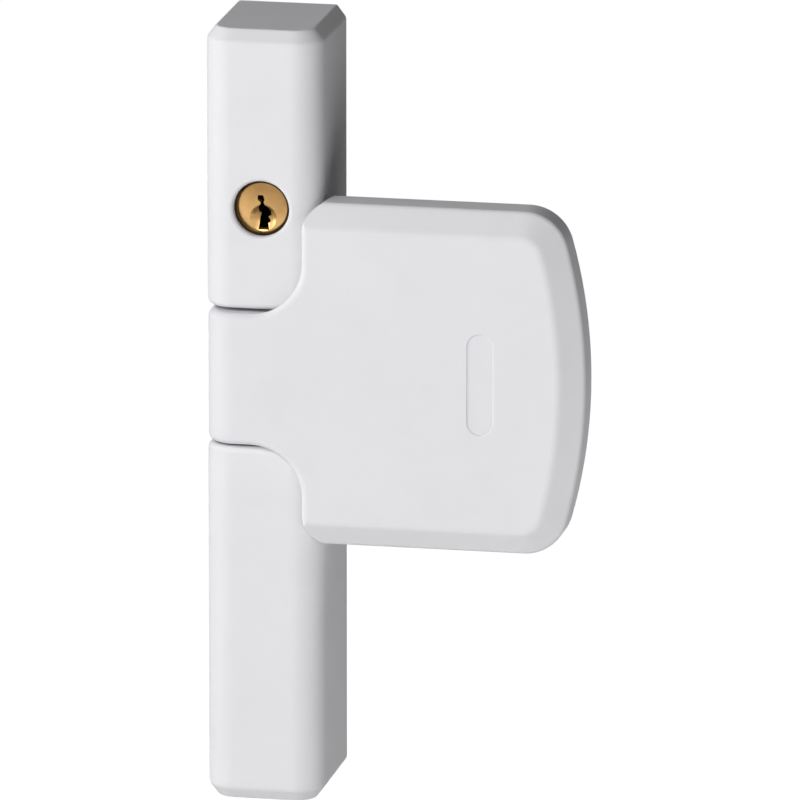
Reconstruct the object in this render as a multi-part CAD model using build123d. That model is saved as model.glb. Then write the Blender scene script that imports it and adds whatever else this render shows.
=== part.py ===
from build123d import *
import os
from math import atan2, cos, hypot, radians, sin, sqrt

# Frame: millimetres, +Z up the bar, -Y into the room, +X towards the flap's free end.
# The origin lies on the mounting face, in the middle of the bar.

# Bar and its two covers
bar_height = 184.7
bar_width = 27.7
bar_depth = 31.7
bar_edge_radius = 6.75
end_bevel_width = 2.2
end_bevel_height = 2.9
end_bevel_rim_radius = 0.8
end_bevel_side_radius = 1.8
cover_wall = 1.8
cover_end_wall = 2.4
cover_mouth_radius = 1.5
cover_clearance = 0.35
cover_hole_clearance = 0.25
cover_hole_round = 0.9

# Base plate and its holes for the window frame's screws
plate_thickness = 2.5
plate_corner_radius = 3.0
fixing_radius = 2.6
fixing_head_radius = 4.0
fixing_spacing_x = 12.0
fixing_inset = 11.35
middle_fixing_z = -50.0

# Knuckle
knuckle_z = 9.5
knuckle_height = 31.4
knuckle_gap = 0.85
knuckle_inset = 0.5

# Flap
flap_height = 81.75
flap_rise = 1.5
flap_reach = 76.3
flap_thickness = 11.5
flap_proud = 1.75
flap_left_edge = 9.75
flap_neck_radius = 12.3
flap_shoulder_radius = 7.5
flap_shoulder_rise = 0.4
flap_corner_radius = 10.5
flap_end_radius = 125.0
flap_edge_radius = 1.7
bevel_width = 5.75
bevel_depth = 4.0
bevel_soft_radius = 3.0
bevel_edge_radius = 1.5
lip_clearance = 0.45
oval_width = 6.1
oval_height = 24.0
oval_depth = 0.35
oval_round = 0.25
oval_x = 52.1

# Flap's hollow back and its plate
flap_wall = 2.2
flap_front_wall = 2.5
flap_rim = 5.0
hollow_corner_radius = 2.0
rib_thickness = 1.8
rib_spacing_z = 26.0
back_plate_thickness = 1.5
back_plate_inset = 1.8
back_plate_clearance = 0.1
boss_radius = 3.2
boss_merge = 0.8
pad_width = 10.0
pad_height = 24.0
pad_thickness = 1.5
pad_corner_radius = 2.0
pad_x = 62.0
pad_spacing_z = 36.0

# Hinge pin, bushes and washers
swing_limit = 150.0
pin_x = -3.0
pin_setback = 11.7
pin_radius = 2.5
pin_head_depth = 12.0
pin_foot_depth = 18.0
pin_end_chamfer = 0.5
running_clearance = 0.05
bush_wall = 1.0
bush_length = 8.0
barrel_relief = 0.4
washer_radius = 4.4
washer_clearance = 0.1

# Lock case and lower hinge block
case_height = 46.0
lower_block_height = 30.0
hollow_left = 7.6
hollow_top = 11.5
hollow_foot = 6.0

# Key cylinder, above the upper cover's mouth
cylinder_rise = 24.0
nose_sink = 1.9
nose_radius = 6.35
flange_radius = 8.5
flange_length = 1.8
flange_gap = 0.3
body_radius = 7.5
plug_head_radius = 5.85
plug_head_length = 1.0
plug_sink = 1.0
plug_radius = 5.2
ridge_width = 5.2
ridge_top = 13.5
seat_clearance = 0.05
dish_radius = 3.1
dish_depth = 0.8
dish_drop = 2.7

# Keyway, as points right of and above the plug's axis
keyway_outline = [
    (-1.25, 2.75), (0.0, 2.75), (0.35, 1.7), (0.1, 1.0), (0.6, 0.25), (1.35, -0.25), (1.75, -0.9),
    (1.9, -1.95), (1.1, -2.4), (1.7, -3.25), (1.6, -3.65), (1.1, -3.95), (1.4, -5.45), (-1.15, -5.45),
    (-0.95, -4.1), (-0.8, -2.5), (-0.5, -1.6), (-1.05, -1.2), (-1.15, -0.1), (-0.6, 0.75), (-0.6, 1.05),
    (-1.3, 1.65),
]
keyway_stop = 1.0

# Pin tumblers
tumbler_count = 4
tumbler_margin = 1.8
tumbler_radius = 1.1
chamber_clearance = 0.06
key_pin_lengths = [3.0, 3.6, 2.8, 3.3]
shear_gap = 0.05
driver_length = 3.2
spring_wire_radius = 0.15
spring_turns = 5
cap_width = 3.2
cap_thickness = 1.0

# Plug's tail, clip and cam
tail_radius = 3.5
clip_thickness = 0.7
clip_radius = 4.7
clip_groove_radius = 2.9
clip_mouth = 4.4
tang_size = 4.4
cam_gap = 0.15
cam_radius = 6.5
cam_thickness = 1.9
crank_radius = 5.0
crank_pin_radius = 1.25
quarter_turn = 90.0
cam_screw_radius = 1.2
cam_screw_length = 4.0
cam_screw_head_radius = 2.4
cam_screw_head_height = 1.3

# Locking bolt
bolt_radius = 2.0
bolt_orbit = 7.0
bolt_guide_clearance = 0.08
bolt_hole_clearance = 0.35
bolt_rest_lift = 0.2
arm_gap = 0.3
arm_setback = 0.125
arm_thickness = 3.0
arm_left = 2.9
arm_right = 8.4
arm_web = 1.8
arm_top_margin = 2.6
arm_foot_height = 3.5
slot_clearance = 0.25

# Screws
thread_clearance = 0.05
drive_width = 0.7
drive_depth = 0.9
block_screw_radius = 2.0
block_screw_head_radius = 3.6
block_screw_length = 10.0
block_screw_x = 7.8
case_screw_foot = 3.2
case_screw_top = 41.0
lower_screw_top = 4.0
lower_screw_foot = 25.0
cover_screw_radius = 1.5
cover_screw_head_radius = 2.8
cover_screw_length = 8.0
cover_screw_y = -9.0
cover_screw_drop = 10.0
plate_screw_radius = 1.25
plate_screw_head_radius = 2.4
plate_screw_length = 6.0
grub_radius = 2.0
grub_socket_radius = 0.95
grub_socket_depth = 1.6
grub_inset = 0.4
pin_grub_drop = 6.5

# Places worked out from the sizes above
bar_top = bar_height / 2
bar_foot = -bar_height / 2
bar_side = bar_width / 2
knuckle_top = knuckle_z + knuckle_height / 2
knuckle_foot = knuckle_z - knuckle_height / 2
upper_mouth = knuckle_top + knuckle_gap
lower_mouth = knuckle_foot - knuckle_gap
knuckle_side = bar_side - knuckle_inset
flap_z = knuckle_z + flap_rise
flap_top = flap_z + flap_height / 2
flap_foot = flap_z - flap_height / 2
flap_front = -(bar_depth + flap_proud)
flap_back = flap_front + flap_thickness
pin_y = -(bar_depth - pin_setback)
barrel_radius = knuckle_side + pin_x
corner_x = bar_side - bar_edge_radius
corner_y = -(bar_depth - bar_edge_radius)
swing_radius = hypot(corner_x - pin_x, corner_y - pin_y) + bar_edge_radius + lip_clearance
hollow_x = pin_x + swing_radius + flap_wall
block_inset = cover_wall + cover_clearance
block_side = bar_side - block_inset
block_front = -(bar_depth - block_inset)
case_top = upper_mouth + case_height
lower_block_foot = lower_mouth - lower_block_height
cylinder_z = upper_mouth + cylinder_rise
bolt_y = pin_y + sqrt(bolt_orbit**2 - pin_x**2)
arm_front = bolt_y - arm_setback
arm_back = arm_front + arm_thickness
cam_back = arm_front - arm_gap
cam_front = cam_back - cam_thickness
body_back = cam_front - cam_gap - clip_thickness - running_clearance
nose_front = -(bar_depth - nose_sink)
plug_front = nose_front + plug_sink
flange_front = -(bar_depth - cover_wall - flange_gap)
flange_back = flange_front + flange_length
cylinder_grub_y = (flange_front + body_back) / 2
throw = 2 * crank_radius * sin(radians(quarter_turn / 2))
crank_x = crank_radius * sin(radians(quarter_turn / 2))
crank_rise = throw / 2
hollow_right = arm_right + arm_gap
bush_radius = pin_radius + running_clearance + bush_wall
pin_grub_heights = [upper_mouth + pin_grub_drop, lower_mouth - pin_grub_drop]
cover_screw_heights = [upper_mouth + cover_screw_drop, lower_mouth - cover_screw_drop]
beyond = 1.0
tiny = 1e-4


# Small shapes that the pieces share
def block(x0, x1, y0, y1, z0, z1):
    return Pos((x0 + x1) / 2, (y0 + y1) / 2, (z0 + z1) / 2) * Box(x1 - x0, y1 - y0, z1 - z0)


def upright(x, y, z0, z1, radius):
    return Pos(x, y, (z0 + z1) / 2) * Cylinder(radius, z1 - z0)


def through_depth(x, z, y0, y1, radius):
    return Pos(x, (y0 + y1) / 2, z) * Rot(90, 0, 0) * Cylinder(radius, y1 - y0)


def crosswise(x0, x1, y, z, radius):
    return Pos((x0 + x1) / 2, y, z) * Rot(0, 90, 0) * Cylinder(radius, x1 - x0)


def bar_length(grow, z0, z1):
    """A length of the bar's section, grown outwards all round but at the back."""
    section = Pos(0, -(bar_depth + grow) / 2) * Rectangle(bar_width + 2 * grow, bar_depth + grow)
    front_corners = section.vertices().group_by(Axis.Y)[0]
    section = fillet(front_corners, bar_edge_radius + grow)
    return extrude(Pos(0, 0, z0) * section, z1 - z0)


def end_edges(solid, z):
    """Edges round one end of a bar length, without the one at the back."""
    return [e for e in solid.edges() if abs(e.bounding_box().size.Z) < tiny
            and abs(e.center().Z - z) < tiny and e.center().Y < -beyond]


def flat_screw(radius, length, head_radius):
    """Countersunk screw down -Z, its head's face at the origin, with a cross drive."""
    head_height = head_radius - radius
    shank = Pos(0, 0, -(length + head_height) / 2) * Cylinder(radius, length - head_height)
    head = Pos(0, 0, -head_height / 2) * Cone(radius, head_radius, head_height)
    drive = Box(2 * radius, drive_width, 2 * drive_depth) + Box(drive_width, 2 * radius, 2 * drive_depth)
    return head + shank - drive


def thread_hole(radius, length):
    """Room for a screw's shank, down -Z from the head's face."""
    deep = length + thread_clearance
    return Pos(0, 0, -deep / 2) * Cylinder(radius + thread_clearance, deep)


def flat_screw_hole(radius, length, head_radius):
    """Room for a whole countersunk screw."""
    head_height = head_radius - radius
    sink = Cone(radius + thread_clearance, head_radius + thread_clearance, head_height)
    return thread_hole(radius, length) + Pos(0, 0, -head_height / 2) * sink


def grub_screw(length):
    """Grub screw down -Z, its socket at the origin."""
    body = Pos(0, 0, -length / 2) * Cylinder(grub_radius, length)
    socket = Pos(0, 0, -grub_socket_depth) * extrude(RegularPolygon(grub_socket_radius, 6), grub_socket_depth)
    return body - socket


def from_front(x, y, z):
    """Frame with its Z pointing out of the front, and its Y up the bar."""
    return Plane(origin=(x, y, z), x_dir=(1, 0, 0), z_dir=(0, -1, 0)).location


def from_back(x, y, z):
    """Frame with its Z pointing out of the back."""
    return Plane(origin=(x, y, z), x_dir=(1, 0, 0), z_dir=(0, 1, 0)).location


def from_right(x, y, z):
    return Plane(origin=(x, y, z), x_dir=(0, 1, 0), z_dir=(1, 0, 0)).location


def from_left(x, y, z):
    return Plane(origin=(x, y, z), x_dir=(0, 1, 0), z_dir=(-1, 0, 0)).location


block_screw_places = [
    (side * block_screw_x, z)
    for z in (upper_mouth + case_screw_foot, upper_mouth + case_screw_top,
              lower_mouth - lower_screw_top, lower_mouth - lower_screw_foot)
    for side in (-1, 1)
]


# Base plate: pressed steel, screwed to the window frame
def base_plate():
    top = bar_top - cover_end_wall - cover_clearance
    plate = block(-block_side, block_side, -plate_thickness, 0, -top, top)
    plate = fillet(plate.edges().filter_by(Axis.Y), plate_corner_radius)
    sink = fixing_head_radius - fixing_radius
    countersink = Rot(90, 0, 0) * Cone(fixing_radius, fixing_head_radius, sink)
    for z in (bar_foot + fixing_inset, middle_fixing_z, bar_top - fixing_inset):
        for x in (-fixing_spacing_x / 2, fixing_spacing_x / 2):
            plate -= through_depth(x, z, -plate_thickness, 0, fixing_radius)
            plate -= Pos(x, sink / 2 - plate_thickness, z) * countersink
    for x, z in block_screw_places:
        plate -= from_back(x, 0, z) * flat_screw_hole(
            block_screw_radius, block_screw_length, block_screw_head_radius)
    return plate


def hinge_block(z0, z1):
    """Die-cast block between the base plate and the cover."""
    body = bar_length(-block_inset, z0, z1)
    body -= block(-bar_side, bar_side, -plate_thickness, beyond, z0, z1)
    for x, z in block_screw_places:
        if z0 < z < z1:
            body -= from_back(x, 0, z) * thread_hole(block_screw_radius, block_screw_length)
    for z in pin_grub_heights:
        if z0 < z < z1:
            body -= crosswise(-block_side, pin_x, pin_y, z, grub_radius + thread_clearance)
    for z in cover_screw_heights:
        if z0 < z < z1:
            body -= from_right(bar_side, cover_screw_y, z) * thread_hole(
                cover_screw_radius, cover_screw_length)
    return body


# Lock case: holds the cylinder, guides the bolt and carries the head of the hinge pin
def lock_case():
    body = hinge_block(upper_mouth, case_top)
    body -= upright(pin_x, pin_y, upper_mouth, upper_mouth + pin_head_depth, pin_radius)
    body -= upright(0, bolt_y, upper_mouth, cylinder_z, bolt_radius + bolt_guide_clearance)
    seat = through_depth(0, cylinder_z, block_front, body_back, body_radius + seat_clearance)
    seat += through_depth(0, cylinder_z, block_front, flange_back, flange_radius + seat_clearance)
    slot_side = ridge_width / 2 + seat_clearance
    slot_top = cylinder_z + ridge_top + seat_clearance
    seat += block(-slot_side, slot_side, block_front, body_back, cylinder_z, slot_top)
    body -= seat
    foot = upper_mouth + hollow_foot
    body -= block(-hollow_left, hollow_right, body_back, -plate_thickness, foot, cylinder_z + hollow_top)
    return body - crosswise(0, block_side, cylinder_grub_y, cylinder_z, grub_radius + thread_clearance)


# Lower hinge block: carries the foot of the hinge pin
def lower_hinge_block():
    body = hinge_block(lower_block_foot, lower_mouth)
    return body - upright(pin_x, pin_y, lower_mouth - pin_foot_depth, lower_mouth, pin_radius)


def block_screws():
    screw = flat_screw(block_screw_radius, block_screw_length, block_screw_head_radius)
    return [from_back(x, 0, z) * screw for x, z in block_screw_places]


# Hinge: pin, its grub screws, the bushes in the knuckle and the thrust washers
def hinge_pin():
    pin = upright(pin_x, pin_y, lower_mouth - pin_foot_depth, upper_mouth + pin_head_depth, pin_radius)
    return chamfer(pin.edges().filter_by(GeomType.CIRCLE), pin_end_chamfer)


def pin_set_screws():
    length = block_side + pin_x - pin_radius - grub_inset
    screw = grub_screw(length)
    return [from_left(-block_side + grub_inset, pin_y, z) * screw for z in pin_grub_heights]


def bush(z0, z1):
    return (upright(pin_x, pin_y, z0, z1, bush_radius)
            - upright(pin_x, pin_y, z0, z1, pin_radius + running_clearance))


def thrust_washer(z0, z1):
    return (upright(pin_x, pin_y, z0, z1, washer_radius)
            - upright(pin_x, pin_y, z0, z1, pin_radius + running_clearance))


# Covers: white mouldings over the base plate, open at the back and towards the knuckle
def cover(mouth, end):
    low, high = min(mouth, end), max(mouth, end)
    inward = 1 if end > mouth else -1
    shell = bar_length(0, low, high)
    end_face = max(shell.faces(), key=lambda face: inward * face.center().Z)
    shell = chamfer(end_edges(shell, end), end_bevel_width, end_bevel_height, reference=end_face)
    shell = fillet(end_edges(shell, end), end_bevel_rim_radius)
    shell = fillet(end_edges(shell, end - inward * end_bevel_height), end_bevel_side_radius)
    shell = fillet(end_edges(shell, mouth), cover_mouth_radius)
    inner = sorted([mouth - inward * beyond, end - inward * cover_end_wall])
    shell -= bar_length(-cover_wall, *inner)
    for z in cover_screw_heights:
        if low < z < high:
            shell -= from_right(bar_side, cover_screw_y, z) * flat_screw_hole(
                cover_screw_radius, cover_screw_length, cover_screw_head_radius)
    return shell


def upper_cover():
    shell = cover(upper_mouth, bar_top)
    hole_radius = nose_radius + cover_hole_clearance
    shell -= through_depth(0, cylinder_z, -bar_depth - beyond, -bar_depth + cover_wall + beyond, hole_radius)
    entry = [e for e in shell.edges().filter_by(GeomType.CIRCLE)
             if abs(e.radius - hole_radius) < tiny and abs(e.center().Y + bar_depth) < tiny]
    return fillet(entry, cover_hole_round)


def lower_cover():
    return cover(lower_mouth, bar_foot)


def cover_screws():
    screw = flat_screw(cover_screw_radius, cover_screw_length, cover_screw_head_radius)
    return [from_right(bar_side, cover_screw_y, z) * screw for z in cover_screw_heights]


# Key cylinder: housing, plug, tumblers, cap and clip
barrel_front = plug_front + plug_head_length
tumbler_span = body_back - barrel_front - 2 * tumbler_margin
tumbler_pitch = tumbler_span / (tumbler_count - 1)
tumbler_ys = [barrel_front + tumbler_margin + tumbler_pitch * i for i in range(tumbler_count)]
chamber_radius = tumbler_radius + chamber_clearance
driver_foot = plug_radius + running_clearance + shear_gap
spring_foot = driver_foot + driver_length
cap_foot = ridge_top - cap_thickness


def cylinder_body():
    body = through_depth(0, cylinder_z, flange_front, body_back, body_radius)
    body += through_depth(0, cylinder_z, nose_front, flange_front, nose_radius)
    body += through_depth(0, cylinder_z, flange_front, flange_back, flange_radius)
    half = ridge_width / 2
    body += block(-half, half, flange_back, body_back, cylinder_z, cylinder_z + ridge_top)
    body -= through_depth(0, cylinder_z, nose_front, body_back, plug_radius + running_clearance)
    body -= through_depth(0, cylinder_z, nose_front, barrel_front + running_clearance,
                          plug_head_radius + running_clearance)
    for y in tumbler_ys:
        body -= upright(0, y, cylinder_z, cylinder_z + cap_foot, chamber_radius)
    return body - chamber_cap()


def chamber_cap():
    half = cap_width / 2
    return block(-half, half, flange_back, body_back, cylinder_z + cap_foot, cylinder_z + ridge_top)


def plug():
    turned = through_depth(0, cylinder_z, plug_front, barrel_front, plug_head_radius)
    turned += through_depth(0, cylinder_z, barrel_front, body_back, plug_radius)
    tail_end = cam_front
    turned += through_depth(0, cylinder_z, body_back, tail_end, tail_radius)
    groove_back = body_back + running_clearance + clip_thickness
    groove = through_depth(0, cylinder_z, body_back + running_clearance, groove_back, tail_radius + beyond)
    groove -= through_depth(0, cylinder_z, body_back, groove_back, clip_groove_radius)
    turned -= groove
    half = tang_size / 2
    turned += block(-half, half, tail_end, cam_back, cylinder_z - half, cylinder_z + half)
    dish_ball = (dish_radius**2 + dish_depth**2) / (2 * dish_depth)
    turned -= Pos(0, plug_front + dish_depth - dish_ball, cylinder_z - dish_drop) * Sphere(dish_ball)
    keyway = make_face(Polyline(*keyway_outline, close=True))
    keyway_depth = body_back - keyway_stop - plug_front
    turned -= extrude(from_front(0, plug_front + keyway_depth, cylinder_z) * keyway, keyway_depth)
    for y in tumbler_ys:
        turned -= upright(0, y, cylinder_z, cylinder_z + plug_radius + beyond, chamber_radius)
    screw_hole_radius = cam_screw_radius + thread_clearance
    return turned - through_depth(0, cylinder_z, cam_back - cam_screw_length, cam_back, screw_hole_radius)


def key_pins():
    limit = through_depth(0, cylinder_z, plug_front, body_back, plug_radius)
    pins = []
    for y, length in zip(tumbler_ys, key_pin_lengths):
        pin = upright(0, y, cylinder_z + plug_radius - length, cylinder_z + plug_radius, tumbler_radius)
        pins.append(pin & limit)
    return pins


def driver_pins():
    foot = cylinder_z + driver_foot
    return [upright(0, y, foot, foot + driver_length, tumbler_radius) for y in tumbler_ys]


def pin_springs():
    coil_radius = tumbler_radius - spring_wire_radius - chamber_clearance
    height = cap_foot - spring_foot - 2 * spring_wire_radius
    springs = []
    for y in tumbler_ys:
        start = (0, y, cylinder_z + spring_foot + spring_wire_radius)
        coil = Helix(height / spring_turns, height, coil_radius, center=start)
        wire = Plane(origin=coil @ 0, z_dir=coil % 0) * Circle(spring_wire_radius)
        springs.append(sweep(wire, coil))
    return springs


def plug_clip():
    front = body_back + running_clearance
    ring = through_depth(0, cylinder_z, front, front + clip_thickness, clip_radius)
    inner = clip_groove_radius + running_clearance
    ring -= through_depth(0, cylinder_z, front, front + clip_thickness, inner)
    half = clip_mouth / 2
    return ring - block(-half, half, front, front + clip_thickness, cylinder_z - clip_radius, cylinder_z)


# Cam: crank disc on the plug's square tang
def cam():
    disc = through_depth(0, cylinder_z, cam_front, cam_back, cam_radius)
    disc += through_depth(crank_x, cylinder_z + crank_rise, cam_front, arm_back, crank_pin_radius)
    half = tang_size / 2
    return disc - block(-half, half, cam_front, cam_back, cylinder_z - half, cylinder_z + half)


def cam_screw():
    screw = through_depth(0, cylinder_z, cam_back - cam_screw_length, cam_back, cam_screw_radius)
    head_back = cam_back + cam_screw_head_height
    screw += through_depth(0, cylinder_z, cam_back, head_back, cam_screw_head_radius)
    reach = cam_screw_head_radius
    return screw - block(-reach, reach, head_back - drive_depth, head_back, cylinder_z - drive_width / 2,
                         cylinder_z + drive_width / 2)


def cylinder_set_screw():
    screw = grub_screw(block_side - grub_inset - body_radius)
    return from_right(block_side - grub_inset, cylinder_grub_y, cylinder_z) * screw


# Locking bolt: round bolt with an offset arm, slotted for the cam's crank pin
def locking_bolt():
    slot_z = cylinder_z + crank_rise
    slot_half = crank_pin_radius + slot_clearance
    foot = upper_mouth + bolt_rest_lift
    arm_foot = upper_mouth + hollow_foot + throw + bolt_rest_lift
    arm_top = slot_z + slot_half + arm_top_margin
    bolt = upright(0, bolt_y, foot, arm_foot + arm_foot_height, bolt_radius)
    bolt += block(-bolt_radius, arm_right, arm_front, arm_back, arm_foot, arm_foot + arm_foot_height)
    bolt += block(arm_left, arm_right, arm_front, arm_back, arm_foot, arm_top)
    slot_right = arm_right - arm_web
    return bolt - block(arm_left, slot_right, arm_front, arm_back, slot_z - slot_half, slot_z + slot_half)


# Flap: white die-casting, hollow at the back, with a solid neck and barrel
def paddle_outline(inset, left):
    """Front view of the flap's paddle, drawn in by inset, from the given left edge."""
    reach = flap_reach - inset
    radius = flap_end_radius - inset
    half = flap_height / 2 - inset
    corner = reach - (radius - sqrt(radius**2 - half**2))
    foot, top = flap_z - half, flap_z + half
    lines = [
        Line((left, foot), (corner, foot)),
        ThreePointArc((corner, foot), (reach, flap_z), (corner, top)),
        Line((corner, top), (left, top)),
        Line((left, top), (left, foot)),
    ]
    face = make_face(lines)
    return fillet(face.vertices().group_by(Axis.X)[-1], flap_corner_radius - inset)


def paddle_prism(inset, left, y0, y1):
    return extrude(from_front(0, y1, 0) * paddle_outline(inset, left), y1 - y0)


def paddle_slab():
    """The paddle's full thickness, bevelled at the top, the free end and the foot."""
    slab = paddle_prism(0, pin_x, flap_front, flap_back)
    front = slab.faces().sort_by(Axis.Y)[0]
    rim = [e for e in front.edges() if e.center().X > pin_x + beyond]
    slab = chamfer(rim, bevel_width, bevel_depth, reference=front)
    front = slab.faces().sort_by(Axis.Y)[0]
    slab = fillet([e for e in front.edges() if e.center().X > pin_x + beyond], bevel_soft_radius)
    shoulder = flap_front + bevel_depth
    outer = [e for e in slab.edges()
             if abs(e.center().Y - shoulder) < tiny and e.bounding_box().size.Y < tiny]
    return fillet(outer, bevel_edge_radius)


def flap_silhouette():
    """Everything inside the flap's left outline: the knuckle, the neck and the paddle's shoulders.

    The shoulders reach a little past the paddle, so that they meet its top and foot at an angle.
    """
    right = flap_reach + beyond
    foot, top = flap_foot - flap_shoulder_rise, flap_top + flap_shoulder_rise
    corners = [
        (pin_x, knuckle_foot), (flap_left_edge, knuckle_foot), (flap_left_edge, foot), (right, foot),
        (right, top), (flap_left_edge, top), (flap_left_edge, knuckle_top), (pin_x, knuckle_top),
    ]
    face = make_face(Polyline(*corners, close=True))
    on_edge = [v for v in face.vertices() if abs(v.X - flap_left_edge) < tiny]
    necks = [v for v in on_edge if abs(v.Y - knuckle_z) < knuckle_height / 2 + tiny]
    face = fillet(necks, flap_neck_radius)
    shoulders = [v for v in face.vertices() if abs(v.X - flap_left_edge) < tiny
                 and abs(v.Y - flap_z) > flap_height / 2]
    face = fillet(shoulders, flap_shoulder_radius)
    return extrude(from_front(0, flap_back, 0) * face, flap_thickness)


def knuckle():
    """The flap's end between the covers: close to the bar's left side, round behind the pin."""
    section = Pos((flap_left_edge - knuckle_side) / 2, (flap_front + flap_back) / 2) * Rectangle(
        knuckle_side + flap_left_edge, flap_thickness)
    section += Pos((pin_x - knuckle_side) / 2, (flap_front + pin_y) / 2) * Rectangle(
        knuckle_side + pin_x, pin_y - flap_front)
    section += Pos(pin_x, pin_y) * Circle(barrel_radius)
    corner = [v for v in section.vertices()
              if abs(v.X + knuckle_side) < tiny and abs(v.Y - flap_front) < tiny]
    section = fillet(corner, bar_edge_radius)
    return extrude(Pos(0, 0, knuckle_foot) * section, knuckle_height)


def swing_room(z0, z1):
    """Room that the flap leaves for a cover, at rest and as its paddle swings round the bar's edge."""
    room = bar_length(lip_clearance, z0, z1)
    nearest = pin_y + swing_radius * (corner_y - pin_y) / hypot(corner_x - pin_x, corner_y - pin_y)
    sweep_round = upright(pin_x, pin_y, z0, z1, swing_radius)
    return room + (sweep_round & block(0, flap_reach, nearest, 0, z0, z1))


boss_xs = [hollow_x + boss_radius - boss_merge, flap_reach - flap_rim - flap_corner_radius]
rib_x = sum(boss_xs) / len(boss_xs)
boss_half_z = flap_height / 2 - flap_rim - boss_radius + boss_merge
boss_places = [(x, flap_z + side * boss_half_z) for x in boss_xs for side in (-1, 1)]
back_plate_front = flap_back - back_plate_thickness


def flap_hollow():
    """The hollow behind the flap's face, with its ribs and screw bosses left standing."""
    floor = flap_front + flap_front_wall
    room = paddle_prism(flap_rim, hollow_x, floor, back_plate_front)
    room = fillet(room.edges().filter_by(Axis.Y).group_by(Axis.X)[0], hollow_corner_radius)
    half = rib_thickness / 2
    for z in (flap_z - rib_spacing_z / 2, flap_z + rib_spacing_z / 2):
        room -= block(hollow_x, flap_reach, floor, back_plate_front, z - half, z + half)
    room -= block(rib_x - half, rib_x + half, floor, back_plate_front, flap_foot, flap_top)
    for x, z in boss_places:
        room -= through_depth(x, z, floor, back_plate_front, boss_radius)
    return room


def flap_body():
    body = flap_silhouette() + knuckle()
    left_outline = [e for e in body.edges() if e.center().X < flap_left_edge + flap_shoulder_radius
                    and e.center().Y < flap_front + bevel_depth - bevel_edge_radius
                    and abs(e.center().Z - knuckle_z) > knuckle_height / 4]
    body = fillet(left_outline, flap_edge_radius)
    body &= paddle_slab() + block(-bar_side, flap_left_edge, flap_front, 0, knuckle_foot, knuckle_top)
    body -= swing_room(knuckle_top, flap_top + beyond)
    body -= swing_room(flap_foot - beyond, knuckle_foot)
    body -= flap_hollow()
    body -= paddle_prism(back_plate_inset, hollow_x - flap_wall / 2, back_plate_front, flap_back)
    for x, z in boss_places:
        body -= from_back(x, flap_back, z) * thread_hole(plate_screw_radius, plate_screw_length)
    body -= upright(pin_x, pin_y, knuckle_foot, knuckle_top, pin_radius + barrel_relief)
    body -= upright(pin_x, pin_y, knuckle_top - bush_length, knuckle_top, bush_radius)
    body -= upright(pin_x, pin_y, knuckle_foot, knuckle_foot + bush_length, bush_radius)
    hole_foot = knuckle_top - throw - bolt_hole_clearance
    for swung in (0, swing_limit):
        turn = atan2(bolt_y - pin_y, -pin_x) + radians(swung)
        x, y = pin_x + bolt_orbit * cos(turn), pin_y + bolt_orbit * sin(turn)
        body -= upright(x, y, hole_foot, knuckle_top, bolt_radius + bolt_hole_clearance)
    oval = SlotOverall(oval_height, oval_width, rotation=90)
    body -= extrude(from_front(oval_x, flap_front + oval_depth, flap_z) * oval, oval_depth)
    rim = [e for e in body.edges() if abs(e.center().Y - flap_front) < tiny
           and abs(e.center().X - oval_x) < oval_width and abs(e.center().Z - flap_z) <= oval_height / 2]
    return fillet(rim, oval_round)


def flap_back_plate():
    inset = back_plate_inset + back_plate_clearance
    left = hollow_x - flap_wall / 2 + back_plate_clearance
    plate = paddle_prism(inset, left, back_plate_front, flap_back)
    for x, z in boss_places:
        plate -= from_back(x, flap_back, z) * flat_screw_hole(
            plate_screw_radius, plate_screw_length, plate_screw_head_radius)
    return plate


def back_plate_screws():
    screw = flat_screw(plate_screw_radius, plate_screw_length, plate_screw_head_radius)
    return [from_back(x, flap_back, z) * screw for x, z in boss_places]


def sash_pad(side):
    z = flap_z + side * pad_spacing_z / 2
    pad = block(pad_x - pad_width / 2, pad_x + pad_width / 2, flap_back, flap_back + pad_thickness,
                z - pad_height / 2, z + pad_height / 2)
    return fillet(pad.edges().filter_by(Axis.Y), pad_corner_radius)


nodes = {
    "base_plate": base_plate(),
    "lock_case": lock_case(),
    "lower_hinge_block": lower_hinge_block(),
    "block_screws": block_screws(),
    "hinge_pin": hinge_pin(),
    "pin_set_screws": pin_set_screws(),
    "upper_bush": bush(knuckle_top - bush_length, knuckle_top),
    "lower_bush": bush(knuckle_foot, knuckle_foot + bush_length),
    "upper_thrust_washer": thrust_washer(knuckle_top + washer_clearance, upper_mouth),
    "lower_thrust_washer": thrust_washer(lower_mouth, knuckle_foot - washer_clearance),
    "upper_cover": upper_cover(),
    "lower_cover": lower_cover(),
    "cover_screws": cover_screws(),
    "cylinder_body": cylinder_body(),
    "plug": plug(),
    "key_pins": key_pins(),
    "driver_pins": driver_pins(),
    "pin_springs": pin_springs(),
    "chamber_cap": chamber_cap(),
    "plug_clip": plug_clip(),
    "cam": cam(),
    "cam_screw": cam_screw(),
    "cylinder_set_screw": cylinder_set_screw(),
    "locking_bolt": locking_bolt(),
    "flap_body": flap_body(),
    "flap_back_plate": flap_back_plate(),
    "back_plate_screws": back_plate_screws(),
    "upper_sash_pad": sash_pad(1),
    "lower_sash_pad": sash_pad(-1),
}

os.makedirs("parts", exist_ok=True)
for name, piece in nodes.items():
    solid = Compound(children=piece) if isinstance(piece, list) else piece
    export_step(solid, f"parts/{name}.step")
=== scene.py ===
import math

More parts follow.
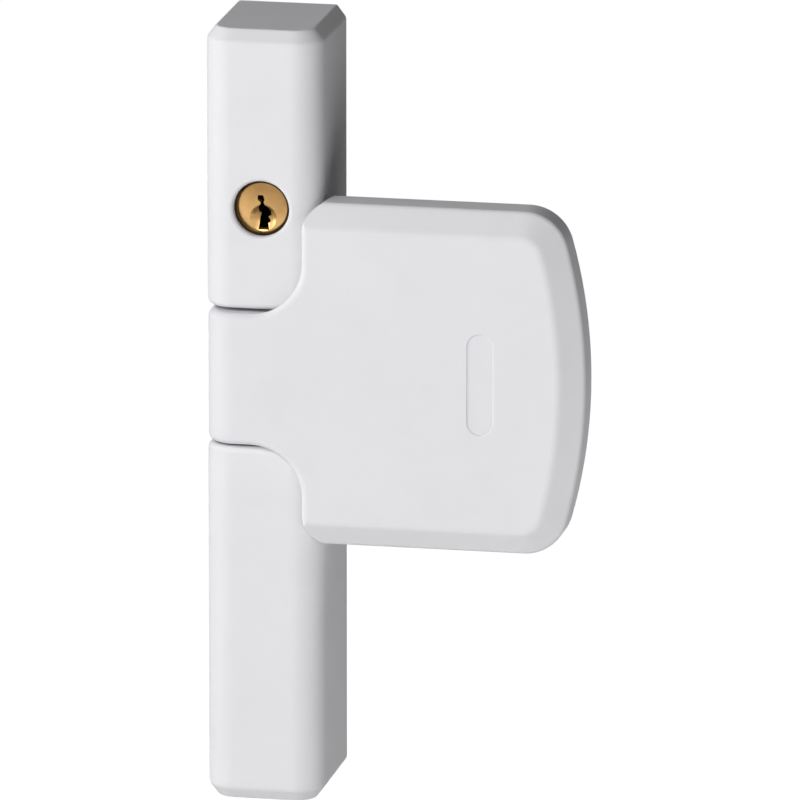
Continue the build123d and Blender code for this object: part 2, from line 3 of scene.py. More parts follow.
import bpy
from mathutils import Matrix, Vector


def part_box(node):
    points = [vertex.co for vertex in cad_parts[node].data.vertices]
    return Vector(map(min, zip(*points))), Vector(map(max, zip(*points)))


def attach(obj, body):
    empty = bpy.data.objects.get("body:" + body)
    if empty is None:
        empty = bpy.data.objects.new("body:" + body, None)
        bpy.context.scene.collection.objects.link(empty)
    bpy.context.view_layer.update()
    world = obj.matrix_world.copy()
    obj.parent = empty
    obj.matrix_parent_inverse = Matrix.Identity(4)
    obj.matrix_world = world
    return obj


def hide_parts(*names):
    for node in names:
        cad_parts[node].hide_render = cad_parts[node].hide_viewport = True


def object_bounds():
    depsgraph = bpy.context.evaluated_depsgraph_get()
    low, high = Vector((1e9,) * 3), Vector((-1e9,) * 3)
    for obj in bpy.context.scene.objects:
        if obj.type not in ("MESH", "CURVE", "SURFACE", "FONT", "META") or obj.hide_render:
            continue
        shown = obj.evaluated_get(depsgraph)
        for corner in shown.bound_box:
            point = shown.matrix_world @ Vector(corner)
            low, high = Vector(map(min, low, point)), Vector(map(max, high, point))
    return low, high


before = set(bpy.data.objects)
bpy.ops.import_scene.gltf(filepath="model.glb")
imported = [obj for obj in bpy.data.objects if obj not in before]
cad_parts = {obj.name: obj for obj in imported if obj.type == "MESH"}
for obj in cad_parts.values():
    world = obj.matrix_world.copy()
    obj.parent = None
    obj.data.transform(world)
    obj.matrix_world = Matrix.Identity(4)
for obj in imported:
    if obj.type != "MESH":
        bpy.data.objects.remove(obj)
cad_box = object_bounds()


# Base plate: the strip that carries everything and lies against the window frame.
# Blanked from steel sheet, countersunk for its fixing screws and zinc plated.
MM = 0.001


class Wire:
    """One value in a node tree. Operators on wires add Math nodes; | gives the larger of two."""

    def __init__(self, nodes, socket):
        self.nodes = nodes
        self.socket = socket

    def maths(self, operation, first, second):
        return self.nodes.node("ShaderNodeMath", {"operation": operation}, {0: first, 1: second})

    def __add__(self, other):
        return self.maths("ADD", self, other)

    def __sub__(self, other):
        return self.maths("SUBTRACT", self, other)

    def __rsub__(self, other):
        return self.maths("SUBTRACT", other, self)

    def __mul__(self, other):
        return self.maths("MULTIPLY", self, other)

    def __or__(self, other):
        return self.maths("MAXIMUM", self, other)

    def __lt__(self, other):
        return self.maths("LESS_THAN", self, other)

    __radd__ = __add__
    __rmul__ = __mul__
    __ror__ = __or__


class Nodes:
    """Makes the nodes of one tree."""

    def __init__(self, tree):
        self.tree = tree

    def node(self, kind, settings=None, sockets=None, out=0):
        made = self.tree.nodes.new(kind)
        for key, value in (settings or {}).items():
            setattr(made, key, value)
        for key, value in (sockets or {}).items():
            self.feed(made.inputs[key], value)
        return Wire(self, made.outputs[out])

    def feed(self, socket, value):
        """Sets a socket to a value or links it to a wire, or to each wire of a list."""
        if isinstance(value, Wire):
            self.tree.links.new(value.socket, socket)
        elif isinstance(value, list):
            for wire in value:
                self.feed(socket, wire)
        elif socket.type == "RGBA":
            socket.default_value = (*value, 1.0)
        else:
            socket.default_value = value


class Finish(Nodes):
    """One procedural material around a Principled shader."""

    def __init__(self, name, **constants):
        self.material = bpy.data.materials.new(name)
        self.material.use_nodes = True
        super().__init__(self.material.node_tree)
        self.shader = self.tree.nodes["Principled BSDF"]
        self.surface({key.replace("_", " "): value for key, value in constants.items()})

    def surface(self, sockets):
        for key, value in sockets.items():
            self.feed(self.shader.inputs[key], value)

    def place(self, stretch=(1, 1, 1), shift=(0, 0, 0)):
        """Object coordinates, stretched and then shifted."""
        where = self.node("ShaderNodeTexCoord", out="Object")
        return self.node("ShaderNodeMapping", sockets={"Vector": where, "Scale": stretch, "Location": shift})

    def along(self, axis):
        """The object's own X, Y or Z."""
        where = self.node("ShaderNodeTexCoord", out="Object")
        return self.node("ShaderNodeSeparateXYZ", sockets={0: where}, out=axis)

    def reach(self, z):
        """Distance from the line along Y at the given height."""
        flat = self.place((1, 0, 1), (0, 0, -z))
        return self.node("ShaderNodeVectorMath", {"operation": "LENGTH"}, {0: flat}, out="Value")

    def grain(self, size, detail=2.0, stretch=(1, 1, 1)):
        """Soft random grain of about the given size, longer along an axis with a small stretch."""
        place = self.place(tuple(share / size for share in stretch))
        return self.node("ShaderNodeTexNoise", sockets={"Vector": place, "Scale": 1.0, "Detail": detail})

    def ramp(self, value, span, to=(0.0, 1.0)):
        """The value's stretch over a span, spread between two new values and held beyond."""
        return self.node("ShaderNodeMapRange", sockets={0: value, 1: span[0], 2: span[1], 3: to[0], 4: to[1]})

    def tint(self, factor, first, second):
        """A colour between two, by a factor."""
        return self.node("ShaderNodeMix", {"data_type": "RGBA"}, {0: factor, 6: first, 7: second}, out=2)

    def relief(self, height, depth):
        """Bump of the given depth in metres, on top of any that is there."""
        sockets = {"Height": height, "Distance": depth}
        normal = self.shader.inputs["Normal"]
        if normal.is_linked:
            sockets["Normal"] = Wire(self, normal.links[0].from_socket)
        self.surface({"Normal": self.node("ShaderNodeBump", sockets=sockets)})


def dress(finish, *names):
    """Gives CAD nodes a finish."""
    for name in names:
        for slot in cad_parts[name].material_slots:
            slot.material = finish.material


grain_middle, grain_width = (0.35, 0.65), (0.3, 0.7)


def plated_steel(name, bright, dull, lines):
    """Zinc plating over rolled or drawn steel, with its lines running one way."""
    cloud_size, line_size, scuff_size = 7 * MM, 0.35 * MM, 2.4 * MM
    line_depth, scuff_depth = 0.006 * MM, 0.004 * MM
    cloud_share, line_share = 0.7, 0.3
    cloud_roughness, line_roughness, scuff_roughness = (0.42, 0.56), 0.08, 0.06
    finish = Finish(name, Metallic=1.0)
    clouds = finish.grain(cloud_size, detail=3.0)
    rolled = finish.grain(line_size, stretch=lines)
    scuffs = finish.ramp(finish.grain(scuff_size, detail=4.0, stretch=(1.0, 1.0, 0.25)), span=(0.58, 0.66))
    shade = finish.ramp(clouds * cloud_share + rolled * line_share, grain_middle)
    roughness = finish.ramp(clouds, grain_width, cloud_roughness)
    finish.surface({
        "Base Color": finish.tint(shade, dull, bright),
        "Roughness": roughness + rolled * line_roughness + scuffs * scuff_roughness,
    })
    finish.relief(rolled, line_depth)
    finish.relief(scuffs, scuff_depth)
    return finish


zinc_sheet = plated_steel(
    "zinc_plated_sheet", bright=(0.44, 0.455, 0.48), dull=(0.32, 0.33, 0.345), lines=(1.0, 1.0, 0.04))
dress(zinc_sheet, "base_plate")


# Lock case and lower hinge block: two solid blocks inside the bar, left bare.
# Zinc die-castings with a faint flow pattern and a pebbled skin, screwed to the base plate from behind.
flow_size, pebble_size, pebble_depth, pebble_share = 5 * MM, 0.5 * MM, 0.02 * MM, 0.4
casting_dark, casting_light = (0.30, 0.31, 0.33), (0.44, 0.45, 0.47)
bare_casting = Finish("bare_die_casting", Metallic=0.9)
flow = bare_casting.grain(flow_size, detail=4.0, stretch=(1.0, 1.0, 0.4))
pebble = bare_casting.grain(pebble_size)
bare_casting.surface({
    "Base Color": bare_casting.tint(bare_casting.ramp(flow, grain_middle), casting_dark, casting_light),
    "Roughness": bare_casting.ramp(flow + pebble * pebble_share, span=(0.4, 1.0), to=(0.42, 0.62)),
})
bare_casting.relief(pebble, pebble_depth)
dress(bare_casting, "lock_case", "lower_hinge_block")


# Block screws: countersunk cross-head machine screws, seen from behind in the base plate.
# Cold-headed steel, thread-rolled and zinc plated, each stopped at its own turn of the driver.
class Shaper(Nodes):
    """A Geometry Nodes tree with named inputs, which sets one shape at each of a set of places."""

    def __init__(self, name, **inputs):
        super().__init__(bpy.data.node_groups.new(name, "GeometryNodeTree"))
        face = self.tree.interface
        face.new_socket("Places", in_out="INPUT", socket_type="NodeSocketGeometry")
        self.keys = {
            label: face.new_socket(label, in_out="INPUT", socket_type="NodeSocket" + kind).identifier
            for kind, labels in inputs.items() for label in labels}
        face.new_socket("Made", in_out="OUTPUT", socket_type="NodeSocketGeometry")
        outputs = self.tree.nodes.new("NodeGroupInput").outputs
        self.given = {label: Wire(self, outputs[label]) for label in ("Places", *self.keys)}

    def vector(self, x=0.0, y=0.0, z=0.0):
        return self.node("ShaderNodeCombineXYZ", sockets={0: x, 1: y, 2: z})

    def moved(self, shape, **changes):
        return self.node("GeometryNodeTransform", sockets={"Geometry": shape, **changes})

    def joined(self, *shapes):
        settings = {"operation": "UNION", "solver": "EXACT"}
        return self.node("GeometryNodeMeshBoolean", settings, {1: list(shapes)})

    def cut(self, shape, *tools):
        settings = {"operation": "DIFFERENCE", "solver": "EXACT"}
        return self.node("GeometryNodeMeshBoolean", settings, {0: shape, 1: list(tools)})

    def set_out(self, shape, rotation, finish):
        """Ends the tree: the shape at each place, as one mesh in its finish."""
        copies = self.node("GeometryNodeInstanceOnPoints", sockets={
            "Points": self.given["Places"], "Instance": shape, "Rotation": rotation})
        whole = self.node("GeometryNodeRealizeInstances", sockets={0: copies})
        painted = self.node("GeometryNodeSetMaterial", sockets={
            "Geometry": whole, "Material": finish.material})
        self.feed(self.tree.nodes.new("NodeGroupOutput").inputs["Made"], painted)


def plain_piece(name, places, shaper, sizes, finish):
    """Runs a tree on a set of places and keeps the result as one plain mesh."""
    cloud = bpy.data.meshes.new(name)
    cloud.from_pydata(places, [], [])
    piece = bpy.data.objects.new(name, cloud)
    bpy.context.scene.collection.objects.link(piece)
    run = piece.modifiers.new("make", "NODES")
    run.node_group = shaper.tree
    for label, value in sizes.items():
        run[shaper.keys[label]] = value
    bpy.context.view_layer.update()
    made = bpy.data.meshes.new_from_object(piece.evaluated_get(bpy.context.evaluated_depsgraph_get()))
    piece.modifiers.clear()
    piece.data = made
    made.materials.clear()
    made.materials.append(finish.material)
    return piece


def countersunk_screws(name, finish):
    """Tree: one cross-head screw, set at each place with a turn of its own."""
    shaper = Shaper(
        name, Float=("Head radius", "Shank radius", "Length", "Recess reach", "Recess depth"),
        Rotation=("Facing",), Int=("Seed",))
    given = shaper.given
    around, blade_corners, blade_share, floor_share = 48, 4, 0.3, 0.45
    head_height = given["Head radius"] - given["Shank radius"]
    head = shaper.node("GeometryNodeMeshCone", sockets={
        "Vertices": around, "Radius Top": given["Head radius"], "Radius Bottom": given["Shank radius"],
        "Depth": head_height})
    head = shaper.moved(head, Translation=shaper.vector(z=-1 * head_height))
    shank = shaper.node("GeometryNodeMeshCylinder", sockets={
        "Vertices": around, "Radius": given["Shank radius"], "Depth": given["Length"]})
    shank = shaper.moved(shank, Translation=shaper.vector(z=-0.5 * given["Length"]))
    blade = shaper.node("GeometryNodeMeshCone", sockets={
        "Vertices": blade_corners, "Radius Top": given["Recess reach"],
        "Radius Bottom": given["Recess reach"] * floor_share, "Depth": given["Recess depth"] * 2})
    blade = shaper.moved(
        blade, Translation=shaper.vector(z=-1 * given["Recess depth"]), Rotation=(0, 0, math.radians(45)))
    first = shaper.moved(blade, Scale=(1.0, blade_share, 1.0))
    second = shaper.moved(blade, Scale=(blade_share, 1.0, 1.0))
    screw = shaper.cut(shaper.joined(head, shank), first, second)
    spin = shaper.node(
        "FunctionNodeRandomValue", {"data_type": "FLOAT"}, {"Max": math.tau, "Seed": given["Seed"]}, out=1)
    turn = shaper.node("FunctionNodeAxisAngleToRotation", sockets={"Axis": (0, 0, 1), "Angle": spin})
    turned = shaper.node(
        "FunctionNodeRotateRotation", {"rotation_space": "LOCAL"}, {0: given["Facing"], 1: turn})
    shaper.set_out(screw, turned, finish)
    return shaper


screw_plating = plated_steel(
    "plated_screws", bright=(0.50, 0.515, 0.54), dull=(0.37, 0.38, 0.395), lines=(1.0, 1.0, 1.0))
screw_tree = countersunk_screws("countersunk_screws", screw_plating)
out_of_back = (-math.pi / 2, 0.0, 0.0)
block_screw_x = 7.8 * MM
outer_inset, case_foot_inset, block_top_inset = 5.0 * MM, 3.2 * MM, 4.0 * MM
case_low, case_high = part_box("lock_case")
block_low, block_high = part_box("lower_hinge_block")
block_screw_zs = (case_high.z - outer_inset, case_low.z + case_foot_inset,
                  block_high.z - block_top_inset, block_low.z + outer_inset)
block_screw_places = [(side * block_screw_x, 0.0, z) for z in block_screw_zs for side in (-1, 1)]
block_screws = plain_piece("block_screws_made", block_screw_places, screw_tree, {
    "Head radius": 3.6 * MM, "Shank radius": 2.0 * MM, "Length": 10.0 * MM, "Recess reach": 2.1 * MM,
    "Recess depth": 1.3 * MM, "Facing": out_of_back, "Seed": 3}, screw_plating)
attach(block_screws, "bar")
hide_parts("block_screws")


# Hinge: a pin held by two grub screws, with a bush in each end of the knuckle and a washer beyond it.
# The pin is hardened and ground, the grub screws are blackened steel.
# The bushes and washers are turned from white acetal.
def turned_metal(name, bright, dull, roughness, lines):
    """Bare metal with fine machining lines across one axis."""
    mark_size, mark_depth, cloud_size = 0.12 * MM, 0.003 * MM, 3 * MM
    mark_share, roughness_spread, cloud_roughness = 0.5, 0.14, 0.06
    finish = Finish(name, Metallic=1.0)
    marks = finish.grain(mark_size, detail=3.0, stretch=lines)
    clouds = finish.grain(cloud_size, detail=3.0)
    shade = finish.ramp(marks * mark_share + clouds * (1 - mark_share), grain_middle)
    mark_roughness = finish.ramp(marks, grain_width, to=(roughness, roughness + roughness_spread))
    finish.surface({
        "Base Color": finish.tint(shade, dull, bright),
        "Roughness": mark_roughness + clouds * cloud_roughness,
    })
    finish.relief(marks, mark_depth)
    return finish


ground_steel = turned_metal(
    "ground_steel", bright=(0.62, 0.62, 0.63), dull=(0.48, 0.48, 0.50), roughness=0.20, lines=(0.1, 0.1, 1.0))
dress(ground_steel, "hinge_pin")

bloom_size, oxide_grain_size, oxide_grain_depth = 1.5 * MM, 0.2 * MM, 0.004 * MM
oxide_black, oxide_bloom = (0.012, 0.012, 0.014), (0.035, 0.034, 0.038)
black_oxide = Finish("black_oxide", Metallic=0.7)
bloom = black_oxide.grain(bloom_size, detail=3.0)
black_oxide.surface({
    "Base Color": black_oxide.tint(black_oxide.ramp(bloom, grain_middle), oxide_black, oxide_bloom),
    "Roughness": black_oxide.ramp(bloom, grain_width, to=(0.36, 0.52)),
})
black_oxide.relief(black_oxide.grain(oxide_grain_size), oxide_grain_depth)
dress(black_oxide, "pin_set_screws")

wax_size, tool_mark_size, tool_mark_depth, tool_mark_share = 2 * MM, 0.15 * MM, 0.004 * MM, 0.3
acetal_cream, acetal_white = (0.70, 0.68, 0.62), (0.78, 0.76, 0.71)
acetal = Finish("white_acetal")
wax = acetal.grain(wax_size)
tool_marks = acetal.grain(tool_mark_size, stretch=(0.1, 0.1, 1.0))
acetal.surface({
    "Base Color": acetal.tint(wax, acetal_cream, acetal_white),
    "Roughness": acetal.ramp(wax + tool_marks * tool_mark_share, span=(0.3, 1.0), to=(0.36, 0.54)),
})
acetal.relief(tool_marks, tool_mark_depth)
dress(acetal, "upper_bush", "lower_bush", "upper_thrust_washer", "lower_thrust_washer")


# Covers: the two white shells of the bar, the upper one with the cylinder's hole.
# Thin zinc die-castings, powder coated satin white, and slid over the blocks from the front.
def powder_coat(name, fresh, aged):
    """Satin white powder coat: soft orange peel, a fine grain and a barely clouded white."""
    cloud_size, handled_size, peel_size, speck_size = 22 * MM, 9 * MM, 1.3 * MM, 0.28 * MM
    peel_depth, speck_depth = 0.009 * MM, 0.003 * MM
    handled_shade, handled_roughness, peel_share = 0.25, 0.04, 0.5
    coat_fresh, coat_worn_off = 0.09, 0.04
    finish = Finish(name, Specular_IOR_Level=0.0, Coat_Roughness=0.35)
    clouds = finish.grain(cloud_size, detail=3.0)
    peel = finish.grain(peel_size, detail=1.5)
    speck = finish.grain(speck_size)
    handled = finish.ramp(finish.grain(handled_size, detail=4.0), span=(0.52, 0.72))
    shade = finish.ramp(clouds + handled * handled_shade, span=(0.35, 0.85))
    skin_roughness = finish.ramp(peel * peel_share + speck * (1 - peel_share), grain_width, to=(0.50, 0.58))
    finish.surface({
        "Base Color": finish.tint(shade, fresh, aged),
        "Roughness": skin_roughness + handled * handled_roughness,
        "Coat Weight": coat_fresh - coat_worn_off * handled,
    })
    finish.relief(peel, peel_depth)
    finish.relief(speck, speck_depth)
    return finish


white_cover = powder_coat("white_powder_coat_bar", fresh=(0.817, 0.814, 0.834), aged=(0.797, 0.794, 0.812))
dress(white_cover, "upper_cover", "lower_cover")


# Cover screws: one countersunk screw through the right side of each cover, where the shut flap hides them.
# The same plated steel screws as behind, in a smaller size.
out_of_right = (0.0, math.pi / 2, 0.0)
cover_screw_head = 2.8 * MM
cover_screw_low, cover_screw_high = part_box("cover_screws")
cover_screw_y = (cover_screw_low.y + cover_screw_high.y) / 2
cover_screw_zs = (cover_screw_high.z - cover_screw_head, cover_screw_low.z + cover_screw_head)
cover_screw_places = [(cover_screw_high.x, cover_screw_y, z) for z in cover_screw_zs]
cover_screws = plain_piece("cover_screws_made", cover_screw_places, screw_tree, {
    "Head radius": cover_screw_head, "Shank radius": 1.5 * MM, "Length": 8.0 * MM, "Recess reach": 1.7 * MM,
    "Recess depth": 1.1 * MM, "Facing": out_of_right, "Seed": 5}, screw_plating)
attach(cover_screws, "bar")
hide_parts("cover_screws")


# Key cylinder's housing: the dark ring round the plug, with the cap of its pin chambers and its grub screw.
# Brass bar turned and milled with a dark dipped finish, and coloured near black as painted shade for the
# shaded gap round the plug, so it stays brown-black next to the bright plug.
plug_low, plug_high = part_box("plug")
cylinder_z = (plug_low.z + plug_high.z) / 2


def rings(finish, size):
    """Fine rings round the cylinder's axis, as a lathe leaves them."""
    steps = finish.reach(cylinder_z) * (1 / size)
    return finish.node(
        "ShaderNodeTexNoise", {"noise_dimensions": "1D"}, {"W": steps, "Scale": 1.0, "Detail": 3.0})


housing_mottle_size, dark_ring_size, dark_ring_depth, dark_ring_share = 1.6 * MM, 0.12 * MM, 0.003 * MM, 0.4
# Painted shade: the housing's two colours are near black and stand in for the shade inside the hole round the
# plug.
housing_shade_black, housing_shade_brown = (0.020, 0.013, 0.006), (0.055, 0.034, 0.013)
housing_brass_shaded = Finish("dark_dipped_brass", Metallic=1.0)
housing_mottle = housing_brass_shaded.grain(housing_mottle_size, detail=3.0)
dark_rings = rings(housing_brass_shaded, dark_ring_size)
housing_brass_shaded.surface({
    "Base Color": housing_brass_shaded.tint(housing_brass_shaded.ramp(housing_mottle, grain_width), housing_shade_black, housing_shade_brown),
    "Roughness": housing_brass_shaded.ramp(housing_mottle + dark_rings * dark_ring_share, span=(0.4, 1.0), to=(0.30, 0.46)),
})
housing_brass_shaded.relief(dark_rings, dark_ring_depth)
dress(housing_brass_shaded, "cylinder_body", "chamber_cap")
dress(black_oxide, "cylinder_set_screw")


# Key plug: the bright brass disc with the keyway, recessed in its hole, and the pin tumblers behind it.
# Turned from brass bar, its face left with faint rings, and dished round the keyway, with painted shade in
# the upper half of the dish.
# The keyway is broached, and painted near black inside as painted shade.
# The dull brass colour is painted shade for the darker top and right of the face.
brass_clean, brass_shaded = (0.635, 0.385, 0.154), (0.34, 0.194, 0.073)
# Painted shade colours: the first for the upper dish round the keyway, the second for inside the keyway.
dish_shade_colour, keyway_shade_colour = (0.07, 0.033, 0.010), (0.012, 0.008, 0.005)
face_ring_size, face_ring_depth, face_ring_share = 0.10 * MM, 0.004 * MM, 0.6
smear_size, shade_drift_size, shade_drift_amount, shade_lean = 1.8 * MM, 4 * MM, 6 * MM, 0.4
face_shade_foot, face_shade_full = cylinder_z, cylinder_z + 7 * MM
# Depths behind the plug's face over which the painted shade in the keyway comes in.
keyway_shade_start, keyway_shade_full, keyway_roughness_gain = plug_low.y + 0.95 * MM, plug_low.y + 2.2 * MM, 0.2
dish_z, dish_edge, dish_beyond = cylinder_z - 2.7 * MM, 3.04 * MM, 3.29 * MM
dish_shade_foot, dish_shade_full, dish_shade_most = dish_z - 0.9 * MM, dish_z + 1.1 * MM, 0.92

bright_brass = Finish("bright_turned_brass", Metallic=1.0)
face_rings = rings(bright_brass, face_ring_size)
smears = bright_brass.grain(smear_size, detail=4.0)
lean = bright_brass.along("Z") + shade_lean * bright_brass.along("X")
drift = shade_drift_amount * bright_brass.grain(shade_drift_size, detail=3.0)
# Painted shade: the brass face darkens towards the top and the right, broken up by a random drift.
face_painted_shade = bright_brass.ramp(lean + drift, (face_shade_foot, face_shade_full))
# Painted shade: the plug goes near black from about a millimetre behind its face, inside the keyway, and is
# rougher there.
keyway_depth_shade = bright_brass.ramp(bright_brass.along("Y"), (keyway_shade_start, keyway_shade_full))
in_dish = bright_brass.ramp(bright_brass.reach(dish_z), (dish_edge, dish_beyond), to=(1.0, 0.0))
in_upper_half = bright_brass.ramp(bright_brass.along("Z"), (dish_shade_foot, dish_shade_full))
# Painted shade: the upper half of the dish round the keyway is darkened where its rim shades it.
dish_painted_shade = in_dish * in_upper_half * bright_brass.ramp(smears, span=(0.3, 0.6), to=(0.55, 1.0))
brass_face = bright_brass.tint(face_painted_shade, brass_clean, brass_shaded)
brass_face = bright_brass.tint(dish_painted_shade * dish_shade_most, brass_face, dish_shade_colour)
face_marks = face_rings * face_ring_share + smears * (1 - face_ring_share)
bright_brass.surface({
    "Base Color": bright_brass.tint(keyway_depth_shade, brass_face, keyway_shade_colour),
    "Roughness": bright_brass.ramp(face_marks, grain_width, to=(0.20, 0.36)) + keyway_depth_shade * keyway_roughness_gain,
})
bright_brass.relief(face_rings, face_ring_depth)
dress(bright_brass, "plug")

pin_brass = turned_metal(
    "turned_pin_brass", bright=(0.72, 0.50, 0.22), dull=(0.56, 0.37, 0.15), roughness=0.24,
    lines=(0.1, 0.1, 1.0))
dress(pin_brass, "key_pins", "driver_pins")

spring_wire = turned_metal(
    "drawn_spring_wire", bright=(0.60, 0.61, 0.62), dull=(0.46, 0.47, 0.48), roughness=0.26,
    lines=(1.0, 1.0, 1.0))
dress(spring_wire, "pin_springs", "plug_clip")


# Cam and locking bolt: the crank disc on the plug's tail, its screw, and the bolt it throws into the knuckle.
# Hardened steel, turned and milled, lightly oiled; all of it is hidden inside the lock case.
cam_steel = turned_metal(
    "milled_steel", bright=(0.56, 0.56, 0.57), dull=(0.42, 0.42, 0.44), roughness=0.28, lines=(1.0, 0.1, 1.0))
dress(cam_steel, "cam")
dress(screw_plating, "cam_screw")
dress(ground_steel, "locking_bolt")


# Flap: the wide white plate with its bevelled rim, its neck and the knuckle that turns on the pin.
# One zinc die-casting, hollow behind, powder coated like the bar, with a bare shallow oval near its free end;
# its white is painted a little darker than the bar's, as painted shade.
white_flap_shaded = powder_coat("white_powder_coat_flap", fresh=(0.807, 0.803, 0.829), aged=(0.787, 0.783, 0.806))
dress(white_flap_shaded, "flap_body")


# Flap's back plate: closes the hollow behind the flap, held by a countersunk screw at each corner.
# Zinc-plated sheet like the base plate, with the smallest of the plated screws.
dress(zinc_sheet, "flap_back_plate")
flap_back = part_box("flap_back_plate")[1].y
plate_screw_head = 2.4 * MM
plate_screw_low, plate_screw_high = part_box("back_plate_screws")
plate_screw_xs = (plate_screw_low.x + plate_screw_head, plate_screw_high.x - plate_screw_head)
plate_screw_zs = (plate_screw_high.z - plate_screw_head, plate_screw_low.z + plate_screw_head)
plate_screw_places = [(x, flap_back, z) for x in plate_screw_xs for z in plate_screw_zs]
plate_screws = plain_piece("back_plate_screws_made", plate_screw_places, screw_tree, {
    "Head radius": plate_screw_head, "Shank radius": 1.25 * MM, "Length": 6.0 * MM, "Recess reach": 1.4 * MM,
    "Recess depth": 0.9 * MM, "Facing": out_of_back, "Seed": 8}, screw_plating)
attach(plate_screws, "flap")
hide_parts("back_plate_screws")


# Sash pads: two ribbed pads stuck to the back plate, which press on the sash and keep it from rattling.
# Moulded black rubber, with rounded corners and half-round ribs across.
dust_size, skin_size, skin_depth, dust_share = 4 * MM, 0.22 * MM, 0.012 * MM, 0.5
rubber_black, rubber_dusty = (0.022, 0.022, 0.023), (0.052, 0.051, 0.050)
pad_rubber = Finish("black_pad_rubber")
dust = pad_rubber.grain(dust_size, detail=4.0)
skin = pad_rubber.grain(skin_size)
pad_rubber.surface({
    "Base Color": pad_rubber.tint(pad_rubber.ramp(dust, span=(0.45, 0.75)), rubber_black, rubber_dusty),
    "Roughness": pad_rubber.ramp(skin + dust * dust_share, span=(0.4, 1.1), to=(0.62, 0.82)),
})
pad_rubber.relief(skin, skin_depth)

corner_steps, rib_around, weld_distance = 8, 24, 0.001 * MM
pad_tree = Shaper(
    "ribbed_pads",
    Float=("Width", "Height", "Slab", "Corner", "Rib radius", "Rib length", "Rib pitch", "First rib"),
    Int=("Ribs",), Rotation=("Facing",))
pad_given = pad_tree.given
outline = pad_tree.node("GeometryNodeCurvePrimitiveQuadrilateral", sockets={
    "Width": pad_given["Width"], "Height": pad_given["Height"]})
outline = pad_tree.node("GeometryNodeFilletCurve", {"mode": "POLY"}, {
    "Curve": outline, "Radius": pad_given["Corner"], "Count": corner_steps})
sheet = pad_tree.node("GeometryNodeFillCurve", {"mode": "NGONS"}, {"Curve": outline})
raised = pad_tree.node("GeometryNodeExtrudeMesh", sockets={
    "Mesh": sheet, "Offset Scale": pad_given["Slab"], "Individual": False})
underside = pad_tree.node("GeometryNodeFlipFaces", sockets={"Mesh": sheet})
slab = pad_tree.node("GeometryNodeJoinGeometry", sockets={0: [underside, raised]})
slab = pad_tree.node("GeometryNodeMergeByDistance", sockets={"Geometry": slab, "Distance": weld_distance})
rib = pad_tree.node("GeometryNodeMeshCylinder", sockets={
    "Vertices": rib_around, "Radius": pad_given["Rib radius"], "Depth": pad_given["Rib length"]})
rib = pad_tree.moved(rib, Rotation=(0, math.pi / 2, 0))
rib_line = pad_tree.node("GeometryNodeMeshLine", sockets={
    "Count": pad_given["Ribs"], "Offset": pad_tree.vector(y=pad_given["Rib pitch"]),
    "Start Location": pad_tree.vector(y=pad_given["First rib"], z=pad_given["Slab"])})
ribs = pad_tree.node("GeometryNodeInstanceOnPoints", sockets={"Points": rib_line, "Instance": rib})
ribs = pad_tree.node("GeometryNodeRealizeInstances", sockets={0: ribs})
pad_tree.set_out(pad_tree.joined(slab, ribs), pad_given["Facing"], pad_rubber)

pad_slab, pad_corner, rib_margin = 0.8 * MM, 2.0 * MM, 1.0 * MM
rib_count, rib_pitch = 9, 2.5 * MM
for name in ("upper_sash_pad", "lower_sash_pad"):
    pad_low, pad_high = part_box(name)
    pad_middle, pad_size = (pad_low + pad_high) / 2, pad_high - pad_low
    pad = plain_piece(name + "_made", [(pad_middle.x, pad_low.y, pad_middle.z)], pad_tree, {
        "Width": pad_size.x, "Height": pad_size.z, "Slab": pad_slab, "Corner": pad_corner,
        "Rib radius": pad_size.y - pad_slab, "Rib length": pad_size.x - 2 * rib_margin,
        "Rib pitch": rib_pitch, "Ribs": rib_count, "First rib": -rib_pitch * (rib_count - 1) / 2,
        "Facing": out_of_back}, pad_rubber)
    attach(pad, "flap")
    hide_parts(name)


# Studio: a white floor well below the lock, soft lamps from the front and a white surround.
# Both show white to the camera and in reflections, and give only a soft light of their own.
def seen_share(nodes):
    """One for rays from the camera, straight, mirrored or through glass, and nought after a scatter."""
    straight, mirrored, through, scatters = (nodes.node("ShaderNodeLightPath", out=kind) for kind in (
        "Is Camera Ray", "Is Glossy Ray", "Is Transmission Ray", "Diffuse Depth"))
    return (straight | mirrored | through) * (scatters < 0.5)


floor_drop, floor_half = 400 * MM, 4.0
floor_z = cad_box[0].z - floor_drop
floor_mesh = bpy.data.meshes.new("floor")
floor_corners = [(x * floor_half, y * floor_half, floor_z) for x, y in ((-1, -1), (1, -1), (1, 1), (-1, 1))]
floor_mesh.from_pydata(floor_corners, [], [(0, 1, 2, 3)])
floor = bpy.data.objects.new("floor", floor_mesh)
bpy.context.scene.collection.objects.link(floor)
pale_floor = Finish("pale_floor", Base_Color=(0.85, 0.85, 0.85), Roughness=0.9, Specular_IOR_Level=0.0,
                    Emission_Strength=0.96)
pale_floor.surface({"Emission Color": seen_share(pale_floor)})
floor_mesh.materials.append(pale_floor.material)

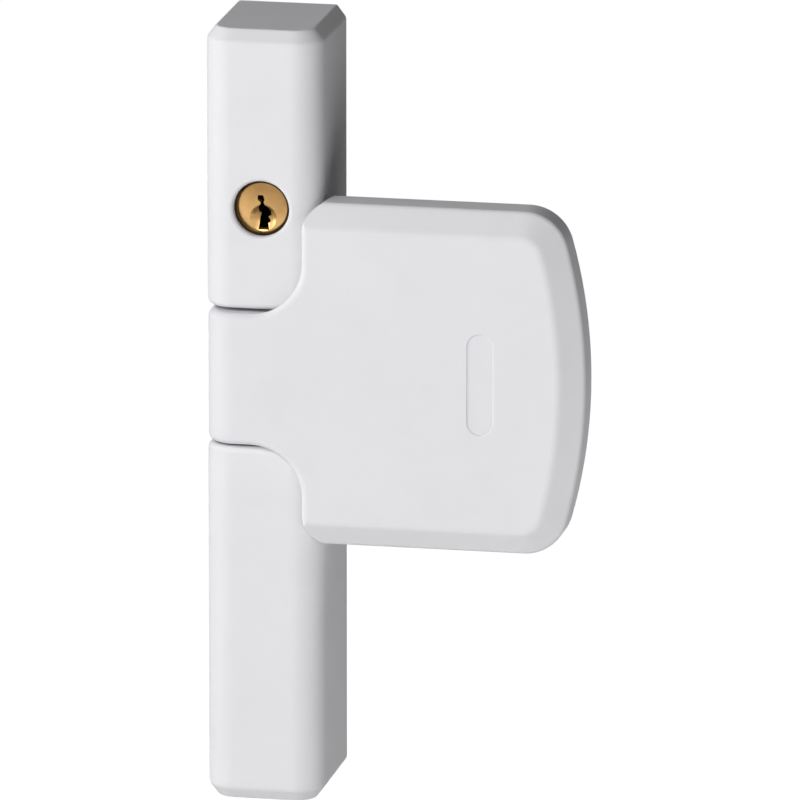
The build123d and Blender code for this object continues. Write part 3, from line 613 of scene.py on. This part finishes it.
world = bpy.data.worlds.new("white_surround")
bpy.context.scene.world = world
world.use_nodes = True
surround = Nodes(world.node_tree)
world.node_tree.nodes.remove(world.node_tree.nodes["Background"])
dim_light = surround.node("ShaderNodeBackground", sockets={"Color": (0.95, 0.97, 1.0), "Strength": 0.02})
plain_white = surround.node("ShaderNodeBackground", sockets={"Color": (1.0, 1.0, 1.0), "Strength": 1.0})
shown = surround.node("ShaderNodeMixShader", sockets={0: seen_share(surround), 1: dim_light, 2: plain_white})
surround.feed(world.node_tree.nodes["World Output"].inputs["Surface"], shown)

view_target = Vector((29.603 * MM, -15.0 * MM, 1.928 * MM))


def toward(azimuth, elevation):
    """Unit vector from the lock to a place round it: azimuth 0 is in front, 90 on the right."""
    a, e = math.radians(azimuth), math.radians(elevation)
    return Vector((math.sin(a) * math.cos(e), -math.cos(a) * math.cos(e), math.sin(e)))


def aimed(name, data, way, distance):
    """A lamp or camera on its stand, that far along a way from the lock and turned to it."""
    stand = bpy.data.objects.new(name, data)
    bpy.context.scene.collection.objects.link(stand)
    stand.location = view_target + way * distance
    stand.rotation_euler = way.to_track_quat("Z", "Y").to_euler()
    return stand


def softbox(name, azimuth, elevation, distance, size, watts):
    """A square soft lamp that the camera does not see."""
    lamp = bpy.data.lights.new(name, "AREA")
    lamp.shape = "SQUARE"
    lamp.size = size
    lamp.energy = watts
    aimed(name, lamp, toward(azimuth, elevation), distance).visible_camera = False


softbox("key_softbox", azimuth=-17, elevation=27, distance=1.05, size=0.8, watts=8.45)
softbox("left_softbox", azimuth=-72, elevation=8, distance=1.6, size=1.0, watts=10.6)
softbox("low_bounce", azimuth=62, elevation=-27, distance=0.5, size=0.34, watts=0.86)

camera_way, camera_distance = toward(azimuth=11.328, elevation=14.099), 3.2652
camera_data = bpy.data.cameras.new("camera")
camera_data.lens = 630.0
camera_data.sensor_width = 36.0
bpy.context.scene.camera = aimed("camera", camera_data, camera_way, camera_distance)
bpy.context.scene.view_settings.view_transform = "Standard"
